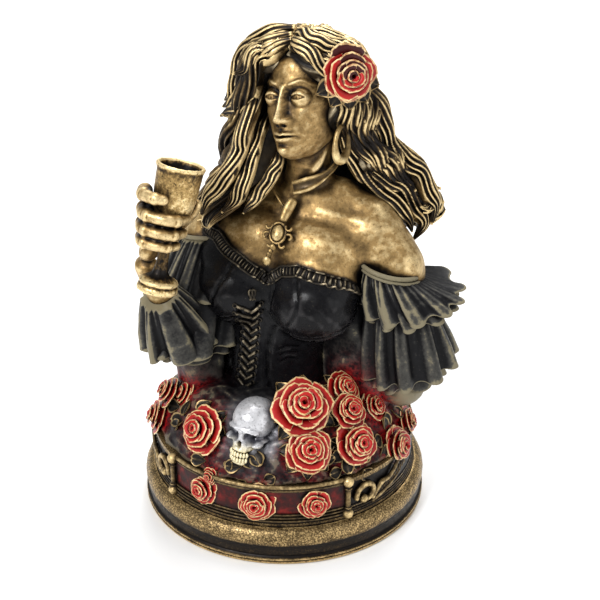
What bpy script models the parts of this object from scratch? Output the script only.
"""Resin bust of a long-haired woman who raises a goblet, on a round plinth ringed with roses.

The whole bust is one casting, so it is one closed solid. Metres, +Z up, the figure faces -Y.
Lengths are named in millimetres. The figure is drawn on a grid of its own: one unit is a
millimetre at the drawn size, and FIGURE_HEIGHT sets how tall it is really cast.
"""

import math

import bmesh
import bpy
import numpy as np
from mathutils import Euler, Matrix, Vector

MM = 0.001

# Plinth
PLINTH_DIAMETER = 100.0
RING_HEIGHT = 13.0
RING_BAND = 2.2
DRUM_DIAMETER = 92.0
DRUM_HEIGHT = 15.0
LEDGE_STEP = 1.2
PLINTH_TOP = RING_HEIGHT + DRUM_HEIGHT
PLINTH_SIDES = 44

# Front panel on the drum, between two posts
PANEL_HALF_ANGLE = 40.0
RAIL_RADIUS = 1.1
POST_RADIUS = 1.0
POST_BALL_RADIUS = 1.9
SCROLL_RADIUS = 1.0
SCROLL_SIZE = 4.2
SCROLL_BOSS_RADIUS = 1.5

# Goblet
GOBLET_HEIGHT = 42.0
GOBLET_MOUTH_RADIUS = 7.8
GOBLET_WALL = 1.1
BOWL_HEIGHT = 16.0
BOWL_DEPTH = 13.0
STEM_RADIUS = 1.9
FOOT_RADIUS = 6.6
FOOT_HEIGHT = 4.4
GOBLET_SIDES = 14
HOLD = GOBLET_HEIGHT - BOWL_HEIGHT

# Figure: drawn on a grid of its own, whose floor is the plinth's top
FIGURE_HEIGHT = 143.0
FIGURE_UNITS = 143.0
GRID_FLOOR = 28.0
GRID_SCALE = FIGURE_HEIGHT / FIGURE_UNITS
HEAD_HEIGHT = 41.5

# Mesh
CLAY_VOXEL = 0.85
CLAY_FACES = 4700
SPECK_POINTS = 200
SHARP_ANGLE = 38.0


def grid(x, y, z):
    """A point of the figure's grid, in metres."""
    scale = GRID_SCALE * MM
    return Vector((x * scale, y * scale, PLINTH_TOP * MM + (z - GRID_FLOOR) * scale))


def grid_size(length):
    """A length of the figure's grid, in metres."""
    return length * GRID_SCALE * MM


def wall_point(bearing, radius, z):
    a = math.radians(bearing)
    return Vector((radius * math.sin(a) * MM, -radius * math.cos(a) * MM, z * MM))


# Where the head is and how it is held: turned to her right, chin raised, slightly tipped
HEAD_CENTRE = (6.8, 5.6, 146.3)
HEAD_TURN = Euler((math.radians(-17), math.radians(-11), math.radians(-21)), "XYZ").to_matrix()
HEAD_UNIT = HEAD_HEIGHT / 40.0


def head_point(x, y, z):
    """A point of the head, drawn 40 units tall about the middle of the eye line, on the figure's grid."""
    local = HEAD_TURN @ Vector((x, y, z)) * HEAD_UNIT
    return tuple(Vector(HEAD_CENTRE) + local)


# Curves and closed shapes

def smooth_curve(points, count):
    """count points on a Catmull-Rom curve through the given ones."""
    p = np.asarray(points, float)
    p = np.vstack([2 * p[0] - p[1], p, 2 * p[-1] - p[-2]])
    spans = len(p) - 3
    t = np.linspace(0, spans, count)
    k = np.minimum(t.astype(int), spans - 1)
    f = (t - k)[:, None]
    a, b, c, d = p[k], p[k + 1], p[k + 2], p[k + 3]
    return 0.5 * (2 * b + (c - a) * f + (2 * a - 5 * b + 4 * c - d) * f**2 + (3 * b - a - 3 * c + d) * f**3)


def unit(vectors):
    return vectors / np.maximum(np.linalg.norm(vectors, axis=-1, keepdims=True), 1e-9)


def add_rings(bm, rings, closed_ring=False):
    """Joins rings of grid points into a skin: capped at both ends, or joined end to end."""
    skin_rings(bm, [[grid(*p) for p in ring] for ring in rings], closed_ring)


def skin_rings(bm, rings, closed_ring=False):
    """Does the same with rings of points in metres."""
    made = [[bm.verts.new(p) for p in ring] for ring in rings]
    pairs = list(zip(made, made[1:] + made[:1])) if closed_ring else list(zip(made, made[1:]))
    faces = []
    for low, high in pairs:
        for i in range(len(low)):
            j = (i + 1) % len(low)
            faces.append(bm.faces.new((low[i], low[j], high[j], high[i])))
    if not closed_ring:
        faces.append(bm.faces.new(list(reversed(made[0]))))
        faces.append(bm.faces.new(made[-1]))
    bmesh.ops.recalc_face_normals(bm, faces=faces)


def add_ball(bm, centre, radii, turn=None):
    """An ellipsoid of the figure's grid; turn is a 3 x 3 rotation."""
    turn = turn or Matrix.Identity(3)
    size = Matrix.Diagonal([grid_size(r) for r in radii]).to_4x4()
    place = Matrix.Translation(grid(*centre)) @ turn.to_4x4() @ size
    bmesh.ops.create_icosphere(bm, subdivisions=3, radius=1.0, matrix=place)


def tube_rings(path, widths, thicknesses, outward, sides):
    """Rings of an elliptic tube; its thin direction follows outward."""
    tangent = unit(np.gradient(path, axis=0))
    side = unit(np.cross(tangent, outward))
    normal = unit(np.cross(side, tangent))
    turn = np.linspace(0, 2 * math.pi, sides, endpoint=False)
    rings = []
    for p, s, n, w, h in zip(path, side, normal, widths, thicknesses):
        rings.append([p + s * w * math.cos(a) + n * h * math.sin(a) for a in turn])
    return rings


def add_limb(bm, points, radii, sides=12, count=None, flatness=1.0, outward=(0.3, -1, 0.2)):
    """A rounded tube through points, with a radius at each."""
    count = count or 5 * len(points)
    path = smooth_curve(points, count)
    radius = smooth_curve(np.asarray(radii, float)[:, None], count)[:, 0]
    ends = np.linspace(0, 1, count)
    length = np.linalg.norm(np.diff(path, axis=0), axis=1).sum()
    for end, r in ((ends, radii[0]), (1 - ends, radii[-1])):
        reach = np.clip(end * length / max(r, 0.1), 0, 1)
        radius = radius * np.maximum(np.sqrt(1 - (1 - reach) ** 2), 0.12)
    facing = np.tile(np.asarray(outward, float), (count, 1))
    add_rings(bm, tube_rings(path, radius, radius * flatness, facing, sides))


# Torso, arms, neck and head

def torso_section(z, centre, half_width, front, back, yaw, count=36):
    """A ring round the torso: front and back are its depths before and behind the centre."""
    turn = math.radians(yaw)
    ring = []
    for i in range(count):
        a = 2 * math.pi * i / count
        x = half_width * math.sin(a)
        y = -math.cos(a) * (front if math.cos(a) > 0 else back)
        ring.append((
            centre[0] + x * math.cos(turn) - y * math.sin(turn),
            centre[1] + x * math.sin(turn) + y * math.cos(turn),
            z,
        ))
    return ring


# height, centre, half width, depth in front, depth behind, turn in degrees
TORSO = (
    (22, (-2, 2), 30, 24, 24, -2),
    (34, (-2.5, 1.5), 26, 20, 20, -3),
    (42, (-3, 1), 21.5, 17, 17, -4),
    (50, (-3.5, 0.5), 19, 14.5, 14.5, -5),
    (58, (-3.5, 0.8), 18.6, 14.5, 14.5, -6),
    (68, (-2.5, 1.5), 20.5, 15.5, 15, -8),
    (80, (-0.5, 2.5), 24.5, 16.5, 15.5, -10),
    (90, (1.5, 4), 28, 16.5, 15, -11),
    (99, (4, 5.5), 31.5, 14, 14, -11),
    (106, (5.5, 6.5), 30, 11.5, 12.5, -11),
    (111, (6.5, 7), 21, 10, 11, -11),
    (116, (7, 7), 12, 9, 10, -11),
)


def add_torso(bm):
    add_rings(bm, [torso_section(*row) for row in TORSO])
    chest_turn = Euler((0, 0, math.radians(-11))).to_matrix()
    for centre in ((12.6, -9.6, 80.0), (-15.4, -4.8, 81.0)):
        add_ball(bm, centre, (14.6, 13.0, 12.6), chest_turn)
    for centre in ((12.4, -6.6, 87.0), (-13.6, -2.2, 88.0)):
        add_ball(bm, centre, (16.0, 12.6, 13.0), chest_turn)
    for centre in ((10.4, -2.6, 95.5), (-8.6, 0.6, 96.0)):
        add_ball(bm, centre, (19.0, 11.4, 13.0), chest_turn)
    add_limb(bm, ((12, 7, 116), (24, 5, 109), (37, 1, 104)), (7, 7.5, 8), flatness=0.9)
    add_limb(bm, ((2, 8, 116), (-10, 10, 109), (-24, 11, 104)), (7, 7.5, 8), flatness=0.9)


LEFT_SHOULDER = (36.5, 0.0, 101.0)
LEFT_ELBOW = (42.0, 0.5, 66.0)
LEFT_STUMP = (42.0, 0.0, 36.0)
RIGHT_SHOULDER = (-25.5, 11.5, 101.0)
RIGHT_ELBOW = (-32.0, -14.0, 67.0)
RIGHT_WRIST = (-38.5, -33.5, 102.0)


def add_arms(bm):
    add_ball(bm, (29.0, 2.5, 103.5), (12.0, 9.5, 8.0))
    add_ball(bm, (-18.5, 10.5, 103.5), (12.0, 9.5, 8.0))
    add_limb(bm, (LEFT_SHOULDER, (39.5, 0, 86), LEFT_ELBOW, LEFT_STUMP), (10.4, 8.8, 7.6, 7.0))
    add_limb(bm, (RIGHT_SHOULDER, (-29, 0, 84), RIGHT_ELBOW), (10.0, 8.4, 6.6))
    add_limb(bm, (RIGHT_ELBOW, (-35, -23, 83), RIGHT_WRIST), (5.6, 5.2, 3.6))


def add_neck_and_head(bm):
    add_limb(bm, ((7.0, 7.5, 106), (7.0, 7.0, 117), (7.4, 6.4, 128), (7.6, 7.0, 138)), (12, 8.4, 7.8, 8.0))
    for centre, radii in (
        ((0, 2.5, 6.0), (13.4, 16.0, 14.2)),
        ((0, -4.0, -3.0), (11.6, 11.6, 13.0)),
        ((0, -6.5, -9.5), (9.0, 8.6, 8.6)),
        ((0, -10.5, -15.8), (4.6, 4.2, 4.2)),
        ((7.4, -8.6, -4.0), (4.2, 4.6, 4.6)),
        ((-7.4, -8.6, -4.0), (4.2, 4.6, 4.6)),
        ((0, -12.4, 3.6), (9.6, 3.2, 2.4)),
        ((0, -14.2, -10.2), (3.8, 2.2, 2.0)),
    ):
        add_ball(bm, head_point(*centre), [r * HEAD_UNIT for r in radii], HEAD_TURN)
    nose = [head_point(*p) for p in ((0, -13.6, 2.0), (0, -15.6, -2.4), (0, -17.6, -6.2))]
    add_limb(bm, nose, (1.3, 1.5, 1.9), sides=8)
    for side in (-1, 1):
        add_ball(bm, head_point(1.9 * side, -14.8, -6.6), (1.4, 1.7, 1.3), HEAD_TURN)


# Hair: guides run round the head from her right cheek, by the back, to her left cheek

HAIR_AXIS = (7.0, 6.0)
HAIR_SHOULDER = 160.0
PART_FRONT = (0.0, -11.5, 15.2)
PART_CROWN = (0.0, 4.0, 21.0)
# where on the part it starts, tip height, bearing and radius at eight even steps down
HAIR_GUIDES = (
    (0.00, 104, (-64, -73, -76, -75, -71, -64, -57, -52), (16, 17.5, 18.5, 19, 19, 20.5, 24, 28)),
    (0.20, 101, (-76, -80, -81, -79, -76, -71, -66, -62), (16.5, 19, 21, 22, 24, 27, 31, 33.5)),
    (0.45, 99, (-90, -92, -92, -90, -87, -84, -80, -76), (17, 19.5, 22, 22.5, 26, 29, 33, 35)),
    (0.70, 92, (-118, -117, -114, -111, -109, -108, -107, -106), (17, 20, 22, 23, 25, 26.5, 29, 30)),
    (0.90, 84, (-150, -150, -148, -146, -144, -143, -142, -142), (15.5, 18.5, 20, 21, 22, 23.5, 25.5, 26)),
    (1.00, 82, (180, 180, 180, 180, 180, 180, 180, 180), (14, 17.5, 19, 20, 21, 22, 23, 22)),
    (0.95, 84, (150, 150, 149, 148, 147, 146, 145, 145), (14, 17.5, 20, 22, 25, 28, 30.5, 30)),
    (0.75, 90, (120, 121, 123, 125, 126, 127, 127, 126), (14, 17.5, 20, 21.5, 28.5, 36, 41, 40)),
    (0.50, 96, (98, 100, 103, 106, 109, 112, 113, 114), (14.5, 17, 19.5, 20.5, 29, 36.5, 42.5, 40)),
    (0.25, 104, (74, 76, 80, 86, 94, 100, 104, 106), (14, 16, 18, 19.5, 24, 31, 37.5, 37)),
    (0.05, 112, (50, 54, 60, 68, 78, 88, 96, 102), (14, 15.5, 16, 16, 17.5, 22, 28, 31)),
)
HAIR_STEPS = 8
LOCK_COUNT = 25
LOCK_POINTS = 26
LOCK_WIDTH = 4.1
LOCK_THICKNESS = 3.4
WAVE_LENGTH = 25.0
WAVE_REACH = 2.3


def bearing_point(bearing, radius, z):
    """Bearing 0 is the front, and it grows towards her left."""
    a = math.radians(bearing)
    return (HAIR_AXIS[0] + radius * math.sin(a), HAIR_AXIS[1] - radius * math.cos(a), z)


def guide_curve(row, sign):
    """One guide as a smooth curve from the part down to its tip."""
    share, tip, bearings, radii = row
    part = Vector(head_point(*[a + (b - a) * share for a, b in zip(PART_FRONT, PART_CROWN)]))
    part += HEAD_TURN @ Vector((0.9 * sign, 0, 0))
    points = [tuple(part)]
    first = Vector(bearing_point(bearings[0], radii[0], HAIR_SHOULDER))
    crown = Vector(HEAD_CENTRE) + HEAD_TURN @ Vector((0, 0, 3))
    puff = -1.0 if sign < 0 else -1.2
    for step in (0.35, 0.7):
        between = part.lerp(first, step)
        reach = (1 - step) * (part - crown).length + step * (first - crown).length
        points.append(tuple(crown + (between - crown).normalized() * (reach + puff)))
    for i in range(HAIR_STEPS):
        z = HAIR_SHOULDER + (tip - HAIR_SHOULDER) * i / (HAIR_STEPS - 1)
        points.append(bearing_point(bearings[i], radii[i], z))
    return smooth_curve(points, LOCK_POINTS)


def lock_paths(count, sink=0.0, shift=0.0):
    """count wavy locks spread over the guides: (path, outward) pairs. sink draws them inwards."""
    middle = len(HAIR_GUIDES) // 2
    curves = np.array([guide_curve(row, -1 if i < middle else 1) for i, row in enumerate(HAIR_GUIDES)])
    along = smooth_curve(curves.reshape(len(curves), -1), 240).reshape(240, LOCK_POINTS, 3)
    girth = np.r_[0, np.cumsum(np.linalg.norm(np.diff(along[:, LOCK_POINTS // 2], axis=0), axis=1))]
    for i in range(count):
        at = np.interp((i + 0.5 + shift) / (count + shift) * girth[-1], girth, np.arange(240))
        path = along[int(round(at))].copy()
        across = unit(along[min(int(at) + 3, 239)] - along[max(int(at) - 3, 0)])
        tangent = unit(np.gradient(path, axis=0))
        outward = unit(np.cross(tangent, across))
        outward *= np.sign((outward[LOCK_POINTS // 2] * (path[LOCK_POINTS // 2] - (*HAIR_AXIS, 130))).sum())
        walked = np.r_[0, np.cumsum(np.linalg.norm(np.diff(path, axis=0), axis=1))]
        phase = 2 * math.pi * (walked / WAVE_LENGTH + 0.13 * i + 0.21 * math.sin(1.7 * i))
        grow = np.clip((walked - 16) / 30, 0, 1)[:, None]
        path += across * grow * WAVE_REACH * np.sin(phase)[:, None]
        path += outward * (grow * 0.55 * WAVE_REACH * np.cos(phase)[:, None] - sink)
        yield path, outward


def add_hair(bm):
    share = np.linspace(0, 1, LOCK_POINTS)
    swell = np.minimum(1, 0.45 + share * 4) * np.minimum(1, 0.12 + (1 - share) * 5)
    for layer, (sink, shift) in enumerate(((0.0, 0.0), (2.2, 0.5))):
        for path, outward in lock_paths(LOCK_COUNT, sink, shift):
            add_rings(bm, tube_rings(path, LOCK_WIDTH * swell, LOCK_THICKNESS * swell, outward, 8))
    add_ball(bm, head_point(0, 4.5, 6.5), (13.8, 15.0, 12.4), HEAD_TURN)
    add_limb(bm, ((7, 15, 150), (7, 17, 130), (8, 17, 110), (8, 16, 92)), (13, 13, 15, 12), flatness=0.62)
    add_limb(bm, ((-5, 9, 142), (-13, 11, 124), (-19, 10, 108)), (8, 9, 9), flatness=0.8)
    add_limb(bm, ((18, 14, 140), (29, 15, 124), (34, 16, 108)), (8, 9, 8), flatness=0.8)


# Sleeves: gathered tiers round each arm

HEM_THICKNESS = 1.6


def add_tier(bm, top, bottom, top_radius, hem_radii, flutes, flute_depth, downs, tuck=1.0):
    """One gathered frill: a fluted skirt from a narrow top ring to its hem, tucked in underneath.

    downs holds two directions, square to the top ring and to the hem.
    """
    count = flutes * 6
    rings = []
    for share, spread in ((0.0, 0.0), (0.3, 0.42), (0.65, 0.78), (1.0, 1.0)):
        middle = Vector(top).lerp(Vector(bottom), share)
        down = Vector(downs[0]).lerp(Vector(downs[1]), share).normalized()
        side = Vector((0, -1, 0)).cross(down).normalized()
        front = down.cross(side).normalized()
        ring = []
        for i in range(count):
            a = 2 * math.pi * i / count
            wave = flute_depth * (0.25 + 0.75 * spread) * math.sin(flutes * a + 0.8 * math.sin(3 * a))
            rx = top_radius + (hem_radii[0] - top_radius) * spread + wave
            ry = top_radius + (hem_radii[1] - top_radius) * spread + wave
            drop = 0.6 * spread * math.cos(2 * a + 1)
            ring.append(middle + side * rx * math.cos(a) + front * ry * math.sin(a) + down * drop)
        rings.append(ring)
    centre = Vector(bottom)
    thick = [centre + (p - centre) * 0.97 + down * HEM_THICKNESS for p in rings[-1]]
    inner = [centre + (p - centre) * 0.6 - down * tuck for p in rings[-1]]
    add_rings(bm, [[tuple(p) for p in ring] for ring in (*rings, thick, inner)])


def add_sleeves(bm):
    """Three tiers hang from each upper arm."""
    left = ((-0.2, -0.12, -1), (0.1, 0.2, -1))
    add_tier(bm, (37.0, -1.5, 91.0), (44.2, -1.2, 82.6), 9.8, (16.6, 16.6), 14, 1.2, left)
    add_tier(bm, (40.5, -1.5, 82.0), (44.0, -1.2, 58.0), 11.0, (15.6, 16.0), 13, 1.3, left)
    add_tier(bm, (42.0, -1.0, 66.0), (43.4, -0.5, 53.5), 9.5, (12.4, 12.4), 10, 1.1, left)
    add_limb(bm, ((42, -2, 58), (42, -2, 48), (42, -2, 40)), (10, 8.5, 6.0))
    right = ((0.1, -0.2, -1), (0.0, 0.0, -1))
    add_tier(bm, (-27.0, 5.0, 94.0), (-30.5, -4.0, 79.0), 10.0, (13.5, 14.5), 13, 1.1, right)
    add_tier(bm, (-28.5, 0.0, 84.0), (-31.0, -10.5, 62.4), 10.0, (14.6, 16.4), 12, 1.3, right)
    add_limb(bm, ((-28, -2, 84), (-29, -6, 66), (-27, -8, 44), (-24, -8, 32)), (9.5, 10, 8.5, 8.5))
    add_limb(bm, ((20, 3, 88), (24, 3, 68), (27, 2, 48), (28, 0, 30)), (10, 12, 13, 13))
    add_limb(bm, ((-18, 6, 88), (-22, 5, 68), (-23, 4, 48), (-24, 3, 30)), (9, 10, 11, 12))


# Hand and goblet

GOBLET_FOOT = (-32.5, -43.0, 95.6)
GOBLET_LEAN = Vector((6.8, 9.4, 40.0)).normalized()
GOBLET_ACROSS = Vector((1, -0.25, 0))
GOBLET_ACROSS = (GOBLET_ACROSS - GOBLET_LEAN * GOBLET_ACROSS.dot(GOBLET_LEAN)).normalized()
GOBLET_TURN = Matrix((GOBLET_ACROSS, GOBLET_LEAN.cross(GOBLET_ACROSS), GOBLET_LEAN)).transposed()


def goblet_frame():
    """The goblet's own frame in metres: origin under its foot, +Z up its stem."""
    return Matrix.Translation(grid(*GOBLET_FOOT)) @ GOBLET_TURN.to_4x4()


def goblet_point(x, y, z):
    """A grid point given in the goblet's frame: x to her left, y behind, z up the stem."""
    return tuple(Vector(GOBLET_FOOT) + GOBLET_TURN @ Vector((x, y, z)))


def hold_point(x, y, z):
    """A goblet point whose z counts from the foot of the bowl, which the hand is closed round."""
    return goblet_point(x, y, HOLD + z)


# height above the bowl's foot, knuckle angle, fingertip angle, wrap radius, thickness
FINGERS = (
    (5.2, 192, 268, 8.6, 2.0),
    (-1.0, 184, 352, 8.3, 2.15),
    (-5.7, 182, 354, 7.9, 2.05),
    (-10.0, 186, 338, 7.2, 1.85),
)


def add_hand(bm):
    for height, start, end, radius, thick in FINGERS:
        points = []
        for share in (0, 0.33, 0.66, 1):
            a = math.radians(start + (end - start) * share)
            bow = radius + (0.8 if share in (0.33, 0.66) else 0) - 1.0 * share
            points.append(hold_point(bow * math.cos(a) - 1.2, bow * math.sin(a), height + 0.8 * share))
        add_limb(bm, points, (thick * 1.15, thick, thick, thick * 0.85), sides=8, count=14)
    add_ball(bm, hold_point(-1.5, 1.5, -5.5), (5.6, 5.6, 6.0))
    back = (RIGHT_WRIST, hold_point(-7.0, 5.5, -12), hold_point(-8.0, 2.5, -4), hold_point(-9.2, -0.8, 6))
    add_limb(bm, back, (3.8, 4.4, 4.2, 3.2), flatness=0.8, outward=(1, 0.3, 0))
    thumb = [hold_point(*p) for p in ((-5, 5.5, -11), (-1.5, 7.5, -6), (2.8, 7.6, 0), (5.0, 6.4, 5))]
    add_limb(bm, thumb, (2.4, 2.2, 2.0, 1.7), sides=8)


def turned(name, profile, sides, place=None):
    """A closed turned solid from (radius, height) pairs in millimetres that start and end on the axis."""
    bm = bmesh.new()
    ring = [bm.verts.new((r * MM, 0, z * MM)) for r, z in profile]
    edges = [bm.edges.new(pair) for pair in zip(ring, ring[1:])]
    bmesh.ops.spin(
        bm, geom=ring + edges, cent=(0, 0, 0), axis=(0, 0, 1), angle=2 * math.pi, steps=sides,
        use_duplicate=False,
    )
    bmesh.ops.remove_doubles(bm, verts=bm.verts, dist=1e-5)
    bmesh.ops.recalc_face_normals(bm, faces=bm.faces)
    return helper(name, bm, place)


def helper(name, bm, place=None):
    """A hidden object that the casting is joined from or cut by."""
    mesh = bpy.data.meshes.new(name)
    bm.to_mesh(mesh)
    bm.free()
    obj = bpy.data.objects.new(name, mesh)
    obj.matrix_world = place or Matrix.Identity(4)
    obj.hide_render = True
    obj.display_type = "WIRE"
    return obj


def make_goblet():
    """The bowl is hollow down to BOWL_DEPTH below the rim."""
    rim, wall = GOBLET_MOUTH_RADIUS, GOBLET_WALL
    bowl = GOBLET_HEIGHT - BOWL_HEIGHT
    floor = GOBLET_HEIGHT - BOWL_DEPTH
    foot = FOOT_RADIUS
    profile = (
        (0, 0), (foot - 0.8, 0), (foot, 0.9), (foot, FOOT_HEIGHT - 2.6), (foot - 0.7, FOOT_HEIGHT - 1.6),
        (foot - 0.4, FOOT_HEIGHT - 0.4), (foot - 1.6, FOOT_HEIGHT), (STEM_RADIUS + 0.7, FOOT_HEIGHT + 1.4),
        (STEM_RADIUS, FOOT_HEIGHT + 5), (STEM_RADIUS + 0.8, bowl - 9), (rim - 3.2, bowl - 2),
        (rim - 1.6, bowl + 2), (rim - 0.8, bowl + 6), (rim - 0.5, GOBLET_HEIGHT - 1.8),
        (rim, GOBLET_HEIGHT - 0.5), (rim - 0.3, GOBLET_HEIGHT), (rim - wall, GOBLET_HEIGHT),
        (rim - 0.5 - wall, GOBLET_HEIGHT - 1.6), (rim - 0.7 - wall, floor + 3.5),
        (rim - 2.6 - wall, floor + 0.8), (0, floor),
    )
    return turned("goblet_form", profile, GOBLET_SIDES, goblet_frame() @ Matrix.Scale(GRID_SCALE, 4))


# Mound, roses and skull

MOUND_STEP = 1.5
MOUND_RADIUS = (DRUM_DIAMETER / 2 - MOUND_STEP) / GRID_SCALE
MOUND_HEIGHT = 19.5
MOUND_ROOT = 3.0
# reach, height above the wall and scallop depth of a rose's rings, as shares of its radius
ROSE_RINGS = (
    (0.70, -0.60, 0.0), (1.00, 0.08, 0.14), (0.76, 0.06, 0.10), (0.66, 0.42, -0.14), (0.44, 0.34, 0.0),
    (0.28, 0.62, 0.0),
)
ROSE_SIDES = 10
# bearing, height, distance from the axis as a share of the mound's radius, radius
TOP_ROSES = (
    (-69, 31.5, 1.0, 5.8), (-69, 41.0, 0.91, 5.2), (-62, 41.5, 0.775, 5.6), (-30, 40.5, 0.91, 7.4),
    (24, 52.5, 0.775, 9.6), (25, 40.5, 0.955, 7.8), (48.5, 38.5, 0.955, 7.5), (58, 51.0, 0.652, 5.4),
    (51, 47.5, 0.809, 5.8), (74, 29.5, 1.0, 6.8), (91, 31.5, 0.984, 4.6), (72, 42.5, 0.798, 5.0),
    (-118, 36.0, 0.933, 5.8), (135, 36.0, 0.921, 6.0),
)
# bearing, height above the ring, radius and upward tilt
PANEL_ROSES = ((-23, 9.0, 5.3, 0.12), (2, 8.6, 6.0, 0.12), (26.5, 8.6, 5.6, 0.12), (-19.5, 15.0, 2.6, 0.5))
PANEL_ROSE_SINK = 0.3
HAIR_ROSE = ((22.5, -7.5, 157.5), (0.42, -0.88, 0.24), 8.4)
SKULL_CENTRE = (-2.4, -34.5, 45.5)
SKULL_TURN = Euler((math.radians(-10), math.radians(4), math.radians(-24)), "XYZ").to_matrix()


def facing_frame(normal):
    """A rotation that takes +Z to the given direction."""
    return Vector(normal).normalized().to_track_quat("Z", "Y").to_matrix()


def make_rose(centre, normal, radius, spin=0.0):
    """An open rose: scalloped rings of petals, each a step above the one outside it. Lengths in metres."""
    bm = bmesh.new()
    frame = facing_frame(normal) @ Matrix.Rotation(spin, 3, "Z")
    rings = []
    for reach, rise, scallop in ROSE_RINGS:
        ring = []
        for i in range(ROSE_SIDES):
            a = 2 * math.pi * i / ROSE_SIDES
            r = radius * reach * (1 - abs(scallop) * (i % 2 == (scallop > 0)))
            ring.append(Vector(centre) + frame @ Vector((r * math.cos(a), r * math.sin(a), radius * rise)))
        rings.append(ring)
    skin_rings(bm, rings)
    return helper("rose_form", bm)


def mound_normal(bearing, height):
    a = math.radians(bearing)
    lift = (height - GRID_FLOOR) / MOUND_HEIGHT
    return (math.sin(a), -math.cos(a), 0.25 + 0.6 * lift)


def add_mound(bm):
    sections = [(MOUND_RADIUS, GRID_FLOOR - MOUND_ROOT)]
    for t in np.linspace(1, 0, 6):
        sections.append((MOUND_RADIUS * (0.55 + 0.45 * t), GRID_FLOOR + MOUND_HEIGHT * (1 - t**2.6)))
    turn = np.arange(0, 6.28, 0.2)
    add_rings(bm, [[(r * math.sin(a), -r * math.cos(a), z) for a in turn] for r, z in sections])
    rng = np.random.default_rng(7)
    for i in range(40):
        bearing = -180 + 9 * i + rng.uniform(-4, 4)
        lift = rng.uniform(0.05, 0.75)
        reach = MOUND_RADIUS * (0.55 + 0.45 * (1 - lift) ** 0.38)
        a = math.radians(bearing)
        place = (reach * math.sin(a), -reach * math.cos(a), GRID_FLOOR + MOUND_HEIGHT * lift)
        turn = facing_frame(mound_normal(bearing, place[2])) @ Matrix.Rotation(rng.uniform(0, 6.3), 3, "Z")
        add_ball(bm, place, (4.6, 2.6, 1.2), turn)


def make_roses():
    """Those of the mound and the hair are on the figure's grid, and those of the panel on the plinth."""
    forms = []
    for i, (bearing, height, share, radius) in enumerate(TOP_ROSES):
        a = math.radians(bearing)
        reach = MOUND_RADIUS * share
        centre = grid(reach * math.sin(a), -reach * math.cos(a), height)
        forms.append(make_rose(centre, mound_normal(bearing, height), grid_size(radius), i))
    for i, (bearing, height, radius, tilt) in enumerate(PANEL_ROSES):
        a = math.radians(bearing)
        centre = wall_point(bearing, DRUM_DIAMETER / 2 - PANEL_ROSE_SINK, RING_HEIGHT + height)
        forms.append(make_rose(centre, (math.sin(a), -math.cos(a), tilt), radius * MM, i))
    centre, normal, radius = HAIR_ROSE
    forms.append(make_rose(grid(*centre), normal, grid_size(radius), 0.5))
    return forms


def skull_point(x, y, z):
    return tuple(Vector(SKULL_CENTRE) + SKULL_TURN @ Vector((x, y, z)))


def add_skull(bm):
    for centre, radii in (
        ((0, 1.5, 1.5), (7.3, 8.2, 7.0)),
        ((0, -4.6, -0.4), (5.6, 2.8, 1.3)),
        ((0, -4.2, -6.2), (4.2, 3.4, 3.6)),
        ((4.6, -3.2, -4.2), (1.6, 2.6, 1.3)),
        ((-4.6, -3.2, -4.2), (1.6, 2.6, 1.3)),
        ((0, -4.2, -11.2), (4.0, 3.2, 2.2)),
        ((4.2, -0.6, -9.0), (1.3, 2.6, 3.8)),
        ((-4.2, -0.6, -9.0), (1.3, 2.6, 3.8)),
        ((0, -5.6, -2.6), (1.1, 1.6, 2.4)),
    ):
        add_ball(bm, skull_point(*centre), radii, SKULL_TURN)
    add_limb(bm, ((9, -36, 44), (12, -39, 38), (12, -41, 32)), (5, 5, 5))


def cut_sockets():
    """The skull's eye sockets and nose opening."""
    bm = bmesh.new()
    holes = (
        ((2.9, -7.0, -3.0), (2.2, 3.0, 2.1)),
        ((-2.9, -7.0, -3.0), (2.2, 3.0, 2.1)),
        ((0, -8.0, -5.6), (0.9, 1.8, 1.5)),
    )
    for centre, radii in holes:
        turn = SKULL_TURN.to_4x4() @ Matrix.Diagonal([grid_size(r) for r in radii]).to_4x4()
        place = Matrix.Translation(grid(*skull_point(*centre))) @ turn
        bmesh.ops.create_icosphere(bm, subdivisions=2, radius=1.0, matrix=place)
    return helper("skull_sockets", bm)


# Jewellery thick enough to stand out of the casting

def add_jewellery(bm):
    hoop = []
    for t in np.arange(0.3, 6.2, 0.5):
        hoop.append(head_point(13.2 + 0.6 * math.cos(t), -1.5 + 3.2 * math.sin(t), -9.5 + 4.6 * math.cos(t)))
    add_limb(bm, hoop, [1.2] * len(hoop), sides=8, count=24, outward=(0.2, -1, 0))
    add_limb(bm, ((5.0, -3.6, 115.0), (3.2, -6.2, 111.5), (1.8, -9.0, 108.0)), (1.9, 1.9, 1.9), sides=8)
    add_ball(bm, (1.0, -10.4, 105.0), (3.7, 2.4, 3.8))
    add_limb(bm, ((0.2, -12.2, 102.6), (-1.2, -14.4, 99.6), (-1.6, -15.4, 97.6)), (1.7, 1.6, 1.8), sides=8)
    collar = []
    for t in np.arange(-0.2, 1.3, 0.25):
        collar.append((7 + 10.2 * math.sin(t), 7.0 - 10.6 * math.cos(t), 119.5 + 4 * t))
    add_limb(bm, collar, [1.7] * len(collar), sides=8)


# Plinth

def make_plinth():
    ring, drum = PLINTH_DIAMETER / 2, DRUM_DIAMETER / 2
    profile = (
        (0, 0), (ring - 0.6, 0), (ring, 0.6), (ring, RING_BAND), (ring - 0.7, RING_BAND + 0.5),
        (ring - 0.2, RING_BAND + 3.2), (ring - 0.4, RING_HEIGHT - 3.6), (ring - 1.4, RING_HEIGHT - 1.2),
        (ring - 3.0, RING_HEIGHT), (drum + LEDGE_STEP * 0.5, RING_HEIGHT),
        (drum + LEDGE_STEP * 0.5, RING_HEIGHT + LEDGE_STEP), (drum, RING_HEIGHT + LEDGE_STEP),
        (drum, PLINTH_TOP), (0, PLINTH_TOP),
    )
    return turned("plinth_form", profile, PLINTH_SIDES)


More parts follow.
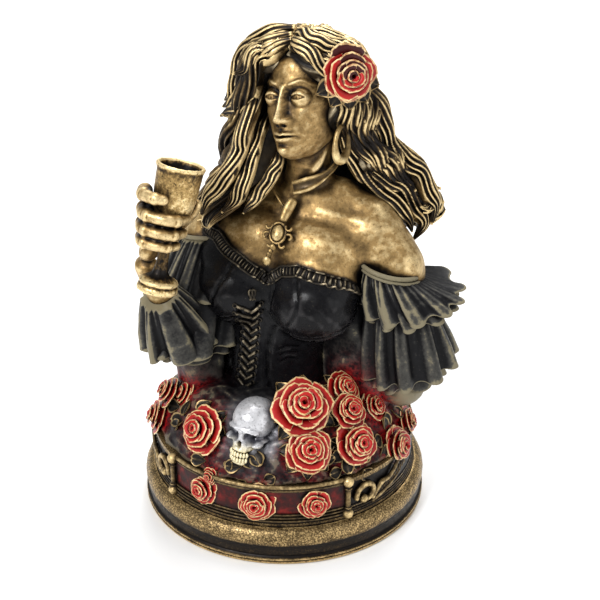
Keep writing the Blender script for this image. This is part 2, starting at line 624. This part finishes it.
def add_bar(bm, points, radius, sides=6):
    """A round bar through points given in metres, with flat ends; radius in millimetres."""
    path = np.array([tuple(p) for p in points])
    tangent = unit(np.gradient(path, axis=0))
    outward = path * (1, 1, 0)
    side = unit(np.cross(tangent, outward))
    normal = unit(np.cross(side, tangent))
    turn = np.linspace(0, 2 * math.pi, sides, endpoint=False) + 0.2
    rings = []
    for p, s, n in zip(path, side, normal):
        rings.append([bm.verts.new(p + (s * math.cos(a) + n * math.sin(a)) * radius * MM) for a in turn])
    faces = []
    for low, high in zip(rings, rings[1:]):
        for i in range(sides):
            j = (i + 1) % sides
            faces.append(bm.faces.new((low[i], low[j], high[j], high[i])))
    faces.append(bm.faces.new(list(reversed(rings[0]))))
    faces.append(bm.faces.new(rings[-1]))
    bmesh.ops.recalc_face_normals(bm, faces=faces)


def make_rail():
    """The rail along the top of the front panel."""
    bm = bmesh.new()
    bearings = np.linspace(-PANEL_HALF_ANGLE, PANEL_HALF_ANGLE, 13)
    add_bar(bm, [wall_point(b, DRUM_DIAMETER / 2, PLINTH_TOP + 0.2) for b in bearings], RAIL_RADIUS, 5)
    return helper("rail", bm)


def make_posts():
    """A post at each side of the front panel: a rod between two balls."""
    forms = []
    wall = DRUM_DIAMETER / 2
    for side in (-1, 1):
        bearing = side * (PANEL_HALF_ANGLE + 1)
        low = wall_point(bearing, wall + 0.6, RING_HEIGHT + 1.9)
        high = wall_point(bearing, wall + 0.6, PLINTH_TOP - 0.6)
        bm = bmesh.new()
        add_bar(bm, (low, high), POST_RADIUS, 8)
        forms.append(helper("post_rod", bm))
        for at in (low, high):
            bm = bmesh.new()
            bmesh.ops.create_uvsphere(
                bm, u_segments=8, v_segments=5, radius=POST_BALL_RADIUS * MM, matrix=Matrix.Translation(at),
            )
            forms.append(helper("post_ball", bm))
    return forms


def make_scrolls():
    """Beyond each post a scroll curls out of the wall round a boss."""
    forms = []
    wall = DRUM_DIAMETER / 2
    for side in (-1, 1):
        curl = []
        for t in np.linspace(-0.4, 4.9, 12):
            reach = SCROLL_SIZE * (1 - 0.09 * t)
            bearing = PANEL_HALF_ANGLE + 10.5 - math.degrees(reach * math.cos(t) / wall)
            curl.append(wall_point(side * bearing, wall + 0.3, RING_HEIGHT + 7.4 + reach * math.sin(t)))
        bm = bmesh.new()
        add_bar(bm, curl, SCROLL_RADIUS)
        forms.append(helper("scroll", bm))
        bm = bmesh.new()
        boss = wall_point(side * (PANEL_HALF_ANGLE + 9), wall + 0.2, RING_HEIGHT + 5.5)
        bmesh.ops.create_uvsphere(
            bm, u_segments=8, v_segments=5, radius=SCROLL_BOSS_RADIUS * MM, matrix=Matrix.Translation(boss),
        )
        forms.append(helper("scroll_boss", bm))
    return forms


def apply_modifiers(obj):
    """Replaces the object's mesh by the result of its modifiers."""
    shown = obj.evaluated_get(bpy.context.evaluated_depsgraph_get())
    mesh = bpy.data.meshes.new_from_object(shown)
    obj.modifiers.clear()
    obj.data = mesh


def drop_specks(mesh, least):
    """Deletes islands of fewer than least points."""
    bm = bmesh.new()
    bm.from_mesh(mesh)
    seen = set()
    specks = []
    for start in bm.verts:
        if start in seen:
            continue
        island = [start]
        seen.add(start)
        for vert in island:
            for edge in vert.link_edges:
                other = edge.other_vert(vert)
                if other not in seen:
                    seen.add(other)
                    island.append(other)
        if len(island) < least:
            specks.extend(island)
    bmesh.ops.delete(bm, geom=specks, context="VERTS")
    bm.to_mesh(mesh)
    bm.free()


def shade_smooth(mesh):
    """Smooth shading, with edges kept sharp where two faces meet at more than SHARP_ANGLE."""
    bm = bmesh.new()
    bm.from_mesh(mesh)
    for face in bm.faces:
        face.smooth = True
    for edge in bm.edges:
        edge.smooth = len(edge.link_faces) == 2 and edge.calc_face_angle() < math.radians(SHARP_ANGLE)
    bm.to_mesh(mesh)
    bm.free()


def add_boolean(obj, other, operation):
    step = obj.modifiers.new(other.name, "BOOLEAN")
    step.operation = operation
    step.solver = "EXACT"
    step.object = other


def resin():
    material = bpy.data.materials.new("bronzed resin")
    material.use_nodes = True
    shader = material.node_tree.nodes["Principled BSDF"]
    shader.inputs["Base Color"].default_value = (0.20, 0.13, 0.06, 1)
    shader.inputs["Metallic"].default_value = 0.5
    shader.inputs["Roughness"].default_value = 0.42
    return material


def main():
    for obj in list(bpy.data.objects):
        bpy.data.objects.remove(obj)
    scene = bpy.context.scene.collection

    clay = bmesh.new()
    for add in (
        add_torso, add_arms, add_neck_and_head, add_hair, add_sleeves, add_hand, add_mound, add_skull,
        add_jewellery,
    ):
        add(clay)
    bust = helper("bust", clay)
    bust.hide_render = False
    bust.display_type = "SOLID"
    scene.objects.link(bust)
    skin = bust.modifiers.new("skin", "REMESH")
    skin.mode = "VOXEL"
    skin.voxel_size = grid_size(CLAY_VOXEL)
    smooth = bust.modifiers.new("smooth", "SMOOTH")
    smooth.factor = 0.35
    smooth.iterations = 1
    bpy.context.view_layer.update()
    apply_modifiers(bust)
    drop_specks(bust.data, SPECK_POINTS)
    thin = bust.modifiers.new("thin", "DECIMATE")
    thin.ratio = CLAY_FACES / (2 * len(bust.data.polygons))
    bpy.context.view_layer.update()
    apply_modifiers(bust)

    plinth = make_plinth()
    scene.objects.link(plinth)
    for form in (make_rail(), *make_posts(), *make_scrolls()):
        scene.objects.link(form)
        add_boolean(plinth, form, "UNION")
    bpy.context.view_layer.update()
    apply_modifiers(plinth)
    shade_smooth(bust.data)
    shade_smooth(plinth.data)
    joined = [(form, "UNION") for form in (plinth, make_goblet(), *make_roses())]
    for form, operation in (*joined, (cut_sockets(), "DIFFERENCE")):
        if form is not plinth:
            scene.objects.link(form)
            shade_smooth(form.data)
        add_boolean(bust, form, operation)
    bust.data.materials.clear()
    bust.data.materials.append(resin())
    bpy.context.view_layer.update()


main()
